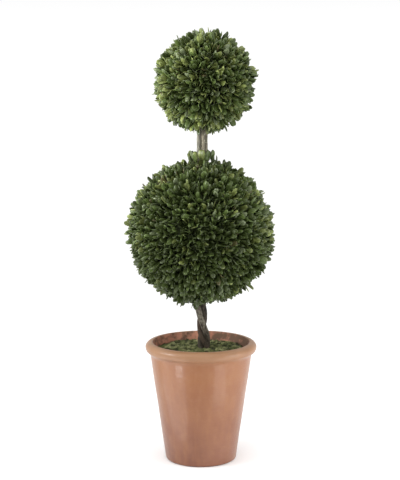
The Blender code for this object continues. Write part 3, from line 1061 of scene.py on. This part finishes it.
def build_tufts(seats, lumps):
    """Tufts of moss over the mat: each a small cushion of sprigs in one tone."""
    chance = random.Random(MOSS_SEED + 1)
    pattern = model_sprig()
    edge = inner_radius(SOIL_LEVEL) - SPRIG_SIZE[1] / 2
    tones = list(SPRIG_TONES)
    shares = [look["share"] for look in SPRIG_TONES.values()]
    places = {tone: [] for tone in tones}
    for tuft in range(TUFT_COUNT):
        away = edge * math.sqrt((tuft + 0.5) / TUFT_COUNT)
        around = tuft * GOLDEN_ANGLE + chance.gauss(0, TUFT_SWAY)
        middle = Vector((away * math.cos(around), away * math.sin(around)))
        size = chance.uniform(*TUFT_RADIUS)
        tone = chance.choices(tones, shares)[0]
        for _ in range(TUFT_SPRIGS):
            part = math.sqrt(chance.random())
            turn = chance.uniform(0, math.tau)
            way = Vector((math.cos(turn), math.sin(turn)))
            x, y = middle + way * size * part
            length = chance.uniform(*SPRIG_SIZE)
            splay = way * part + Vector((chance.gauss(0, SPRIG_SPLAY), chance.gauss(0, SPRIG_SPLAY)))
            lean = Vector((splay.x, splay.y, 1)).normalized()
            rise = TUFT_RISE * (1 - part**2) - MOSS_SINK
            root = Vector((x, y, moss_height(x, y, lumps) + rise - length * SPRIG_SUNK))
            if not clear_of_trunk(root, seats) or root.xy.length > edge:
                continue
            across, over = side_ways(lean)
            places[tone].append(place_matrix(root, across * length, over * length, lean * length))
    for tone, look in SPRIG_TONES.items():
        sprigs = joined_copies(f"{tone}_sprigs", [(pattern, places[tone])])
        finish_piece(sprigs, moss_finish(tone, look["dark"], look["light"]), "moss")


def clipped_length(root, along, centre, limit):
    """Length at which a leaf from a root reaches the clipped ball's surface."""
    offset = root - centre
    slope = offset.dot(along)
    return -slope + math.sqrt(slope**2 - offset.length_squared + limit**2)


def leaf_matrix(root, way, flat, length, width):
    """Place of a leaf that grows one way from its root, with its flat side across another."""
    return place_matrix(root, flat * width, way * length, flat.cross(way) * width)


def rolled(flat, way, chance):
    """A leaf's flat side, rolled a little about the way that the leaf grows."""
    return Matrix.Rotation(chance.uniform(-LEAF_ROLL, LEAF_ROLL), 3, way) @ flat


def clear_of_trunk(place, seats):
    """Whether a place stands clear of all three stems."""
    if place.z > STEM_TIP + TRUNK_ROOM:
        return True
    height = min(max(place.z, STEM_FOOT), STEM_TIP)
    swell = trunk_swell(height)
    for name, seat in seats.items():
        away = (place.xy - stem_middle(seat, height).xy).length
        if away < STEM_RADII[name] * swell + TRUNK_ROOM:
            return False
    return True


def grow_twig(ball, number, chance, seats):
    """A twig's outward way, its place and its leaves', in whorls that are each turned from the last."""
    centre = ball["centre"]
    height = 1 - (2 * number + 1) / ball["twigs"]
    level = math.sqrt(1 - height**2)
    turn = number * GOLDEN_ANGLE
    outward = Vector((level * math.cos(turn), level * math.sin(turn), height))
    tilt = Vector([chance.uniform(-TWIG_TILT, TWIG_TILT) for _ in range(3)])
    along = (outward + tilt).normalized()
    across, over = side_ways(along)
    spin = chance.uniform(0, math.tau)
    base = centre + outward * (ball["outline"] - WHORLS[0]["depth"] + chance.gauss(0, TWIG_RISE))
    leaves = []
    for rank, whorl in enumerate(WHORLS):
        seat = base + along * (WHORLS[0]["depth"] - whorl["depth"])
        for leaf in range(whorl["leaves"]):
            angle = spin + math.tau * leaf / whorl["leaves"] + rank * math.pi / 2
            sideways = math.cos(angle) * across + math.sin(angle) * over
            lean = chance.uniform(*whorl["lean"])
            way = math.cos(lean) * along + math.sin(lean) * sideways
            root = seat - way * LEAF_SINK
            length = LEAF_LENGTH * (1 + chance.uniform(-LEAF_LENGTH_SPREAD, LEAF_LENGTH_SPREAD))
            most = clipped_length(root, way, centre, ball["reach"])
            if rank == len(WHORLS) - 1 and number % STRAY_EVERY == 0:
                root += way * (most - length) * STRAY_PART
            length = min(length, most)
            flat = rolled(math.cos(angle) * over - math.sin(angle) * across, way, chance)
            width = LEAF_WIDTH * chance.uniform(*LEAF_WIDTH_RANGE)
            shape = chance.choice(list(LEAF_SHAPES))
            if length < LEAF_LENGTH * LEAF_SHORTEST:
                continue
            middle = root + way * length * LEAF_WIDEST
            edges = [middle + flat * width * side for side in (-0.5, 0.5)]
            spots = (root, root + way * length, middle, *edges)
            if all(clear_of_trunk(spot, seats) for spot in spots):
                leaves.append((rank, shape, leaf_matrix(root, way, flat, length, width)))
    foot = base - along * TWIG_SINK
    end = base + along * (WHORLS[0]["depth"] - WHORLS[-1]["depth"])
    twig = None
    if leaves and clear_of_trunk(foot, seats) and clear_of_trunk(end, seats):
        twig = place_matrix(foot, across * TWIG_RADIUS, over * TWIG_RADIUS, end - foot)
    return outward, twig, leaves


def grow_collar(chance, seats):
    """Places of the leaves that stand up round the trunk where it leaves the lower ball."""
    leaves = []
    for number in range(COLLAR_LEAVES):
        angle = number * GOLDEN_ANGLE
        outward = Vector((math.cos(angle), math.sin(angle), 0))
        height = COLLAR_HEIGHT + chance.gauss(0, COLLAR_HEIGHT_SPREAD)
        away = trunk_girth(seats) + chance.uniform(*COLLAR_ROOM)
        root = trunk_axis(height) + outward * away
        lean = chance.uniform(*COLLAR_LEAN)
        way = math.cos(lean) * Vector((0, 0, 1)) + math.sin(lean) * outward
        flat = rolled(way.cross(outward).normalized(), way, chance)
        length = LEAF_LENGTH * (1 - chance.uniform(0, LEAF_LENGTH_SPREAD))
        width = LEAF_WIDTH * chance.uniform(*LEAF_WIDTH_RANGE)
        blade = leaf_matrix(root, way, flat, length, width)
        leaves.append((chance.choice(list(LEAF_SHAPES)), blade))
    return leaves


def build_core(ball, girth, material):
    """Shaded inside of one ball, cut clear of the trunk."""
    core = add_primitive(
        f"{ball['name']}_inside",
        bpy.ops.mesh.primitive_ico_sphere_add,
        subdivisions=CORE_SUBDIVISIONS,
        radius=ball["core"] - CORE_INSET,
        location=ball["centre"],
    )
    settle(core)
    move_vertices(core, lambda place, normal: normal * CORE_RELIEF * noise.noise(place / CORE_GRAIN))
    low = ball["centre"].z - ball["reach"]
    count = math.ceil((ball["hole_top"] - low) / HOLE_STEP)
    heights = [low + (ball["hole_top"] - low) * step / count for step in range(count + 1)]
    rings = [(trunk_axis(height), girth + CLEARANCE, 0.0) for height in heights]
    hole = draw_column("trunk_hole", rings, HOLE_SIDES)
    apply_modifier(core, "BOOLEAN", operation="DIFFERENCE", object=hole)
    bpy.data.objects.remove(hole, do_unlink=True)
    smooth(core, SMOOTH_TURN)
    finish_piece(core, material, ball["name"])


def deal_tone(chance, ball, outward, rank):
    """A tone for one spray: paler ones are likelier where the ball is painted as lit, deeper where
    shaded.
    """
    painted_lightness = ball["painted_lightness"] + ball["painted_light_side"].dot(outward)
    shares = [look["shares"][rank] * math.exp(painted_lightness * look["step"]) for look in LEAF_TONES.values()]
    return chance.choices(list(LEAF_TONES), shares)[0]


def build_ball(ball, seats, patterns, twig_pattern, finishes):
    """One clipped ball: its inside, its twigs and its leaves, the leaves joined by tone."""
    girth = trunk_girth(seats)
    build_core(ball, girth, finishes["inside"])
    chance = random.Random(ball["seed"])
    places = {tone: {shape: [] for shape in LEAF_SHAPES} for tone in LEAF_TONES}
    twigs = []
    for number in range(ball["twigs"]):
        outward, twig, leaves = grow_twig(ball, number, chance, seats)
        sprays = [deal_tone(chance, ball, outward, rank) for rank in range(len(WHORLS))]
        if twig:
            twigs.append(twig)
        for rank, shape, blade in leaves:
            places[sprays[rank]][shape].append(blade)
    # Collar leaves are dealt tones as though they faced straight up, as painted light
    if ball is LOWER_BALL:
        for shape, blade in grow_collar(chance, seats):
            places[deal_tone(chance, ball, COLLAR_PAINTED_LIGHT_SIDE, -1)][shape].append(blade)
    name = ball["name"]
    all_twigs = joined_copies(f"{name}_twigs", [(twig_pattern, twigs)])
    finish_piece(all_twigs, finishes["twig"], name)
    for tone in LEAF_TONES:
        groups = [(patterns[shape], places[tone][shape]) for shape in LEAF_SHAPES]
        finish_piece(joined_copies(f"{name}_{tone}", groups), finishes[tone], name)


def light_studio():
    """Surroundings that are white at the horizon and overhead, the softboxes and the cards."""
    world = bpy.data.worlds.new("studio_world")
    world.use_nodes = True
    nodes = Nodes(world.node_tree)
    way = nodes.node("ShaderNodeTexCoord", output="Generated")
    rise = nodes.node("ShaderNodeSeparateXYZ", sockets={"Vector": way}, output="Z")
    above = rise.at_least(0.0)
    horizon = (1 - rise * rise) ** HORIZON_POWER
    strength = ROOM_LIGHT + HORIZON_LIGHT * horizon + TOP_LIGHT * (above * above)
    background = world.node_tree.nodes["Background"]
    nodes.fill(background, {"Color": (1.0, 1.0, 1.0, 1.0), "Strength": strength})
    bpy.context.scene.world = world
    for name, box in (SOFTBOXES | SHINE_CARDS).items():
        light = bpy.data.lights.new(name, "AREA")
        light.shape = "RECTANGLE"
        light.size, light.size_y = box["size"]
        light.energy = box["power"]
        light.spread = box.get("spread", math.pi)
        lamp = add_object(name, light)
        lamp.location = box["place"]
        towards = Vector(box["aim"]) - Vector(box["place"])
        lamp.rotation_euler = towards.to_track_quat("-Z", "Y").to_euler()
        lamp.visible_diffuse = name not in SHINE_CARDS
        lamp.visible_camera = name not in SHINE_CARDS


def build_studio():
    """Plain pale floor under plain soft light, and the photograph's camera."""
    floor = add_primitive(
        "studio_floor", bpy.ops.mesh.primitive_plane_add, size=FLOOR_SIZE, location=(0, 0, -FLOOR_DROP)
    )
    floor.data.materials.append(floor_finish())
    light_studio()
    camera = add_object("photo_camera", bpy.data.cameras.new("photo_camera"))
    camera.data.sensor_width = SENSOR
    camera.data.lens = SENSOR * FOCAL_PIXELS / FRAME_HEIGHT
    camera.location = CAMERA_PLACE
    camera.rotation_euler = (math.radians(90 - CAMERA_DOWN), 0, 0)
    bpy.context.scene.camera = camera
    bpy.context.scene.view_settings.view_transform = "Standard"


def main():
    """Dress the solids: pot, filling, moss, trunk and the two balls, in the studio."""
    seats = stem_seats()
    lumps = moss_lumps()
    build_pot()
    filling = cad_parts["filling"]
    for slot in filling.material_slots:
        slot.material = soil_finish()
    build_moss_mat(seats, lumps)
    build_tufts(seats, lumps)
    build_stems(seats)
    patterns = {name: model_leaf(name, **shape) for name, shape in LEAF_SHAPES.items()}
    twig_pattern = model_twig()
    finishes = {tone: leaf_finish(tone, look["colour"]) for tone, look in LEAF_TONES.items()}
    finishes["inside"] = core_finish()
    finishes["twig"] = twig_finish()
    for ball in (LOWER_BALL, UPPER_BALL):
        build_ball(ball, seats, patterns, twig_pattern, finishes)
    build_studio()


main()
